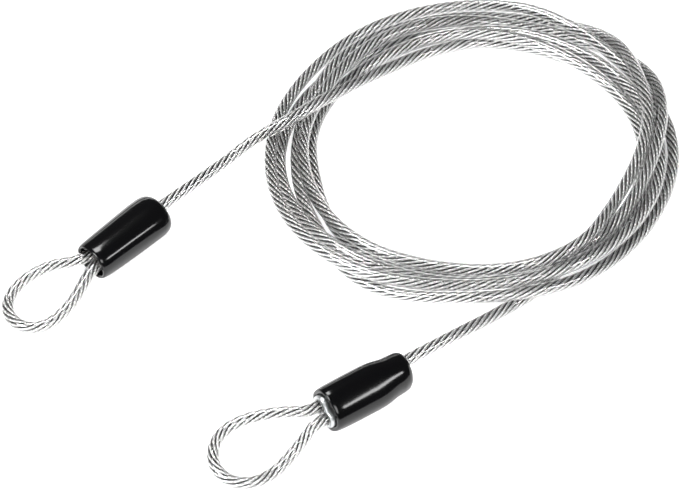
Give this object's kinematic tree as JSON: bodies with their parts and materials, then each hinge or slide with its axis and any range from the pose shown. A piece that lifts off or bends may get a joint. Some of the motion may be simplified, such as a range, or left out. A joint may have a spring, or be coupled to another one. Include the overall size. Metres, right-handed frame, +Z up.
{
  "type": "coiled security cable with two eyes",
  "caption": "Clear-jacketed steel wire rope lock cable lying in a loose coil, with a crimped eye and a sliding black end cap at each end.",
  "frame": {"origin": "middle of the plan outline, on the surface that the cable lies on", "axes": "+Z up; the two capped ends lie towards -X and -Y, the coil towards +X and +Y"},
  "size_m": [0.2098, 0.2018, 0.0136],
  "materials": {
    "wire_rope": "galvanised steel wire rope under a clear jacket",
    "jacket": "clear glossy vinyl",
    "ferrule": "plain pressed aluminium",
    "cap": "glossy black soft vinyl"
  },
  "bodies": {
    "cable": {"wire_rope_lead_a": "wire_rope", "wire_rope_eye_a": "wire_rope", "wire_rope_crimped_a": "wire_rope", "jacket_lead_a": "jacket", "jacket_eye_a": "jacket", "jacket_crimped_a": "jacket", "ferrule_a": "ferrule", "wire_rope_lead_b": "wire_rope", "wire_rope_eye_b": "wire_rope", "wire_rope_crimped_b": "wire_rope", "jacket_lead_b": "jacket", "jacket_eye_b": "jacket", "jacket_crimped_b": "jacket", "ferrule_b": "ferrule", "cable_coil": "wire_rope"},
    "cap_a": {"cap_a": "cap"},
    "cap_b": {"cap_b": "cap"}
  },
  "joints": [
    {"name": "cap_a_slide", "type": "slide", "parent": "cable", "child": "cap_a", "axis": [0.7133, 0.7009, 0], "range_m": [0, 0.021]},
    {"name": "cap_b_slide", "type": "slide", "parent": "cable", "child": "cap_b", "axis": [0.8099, 0.5842, -0.0523], "range_m": [0, 0.013]}
  ]
}
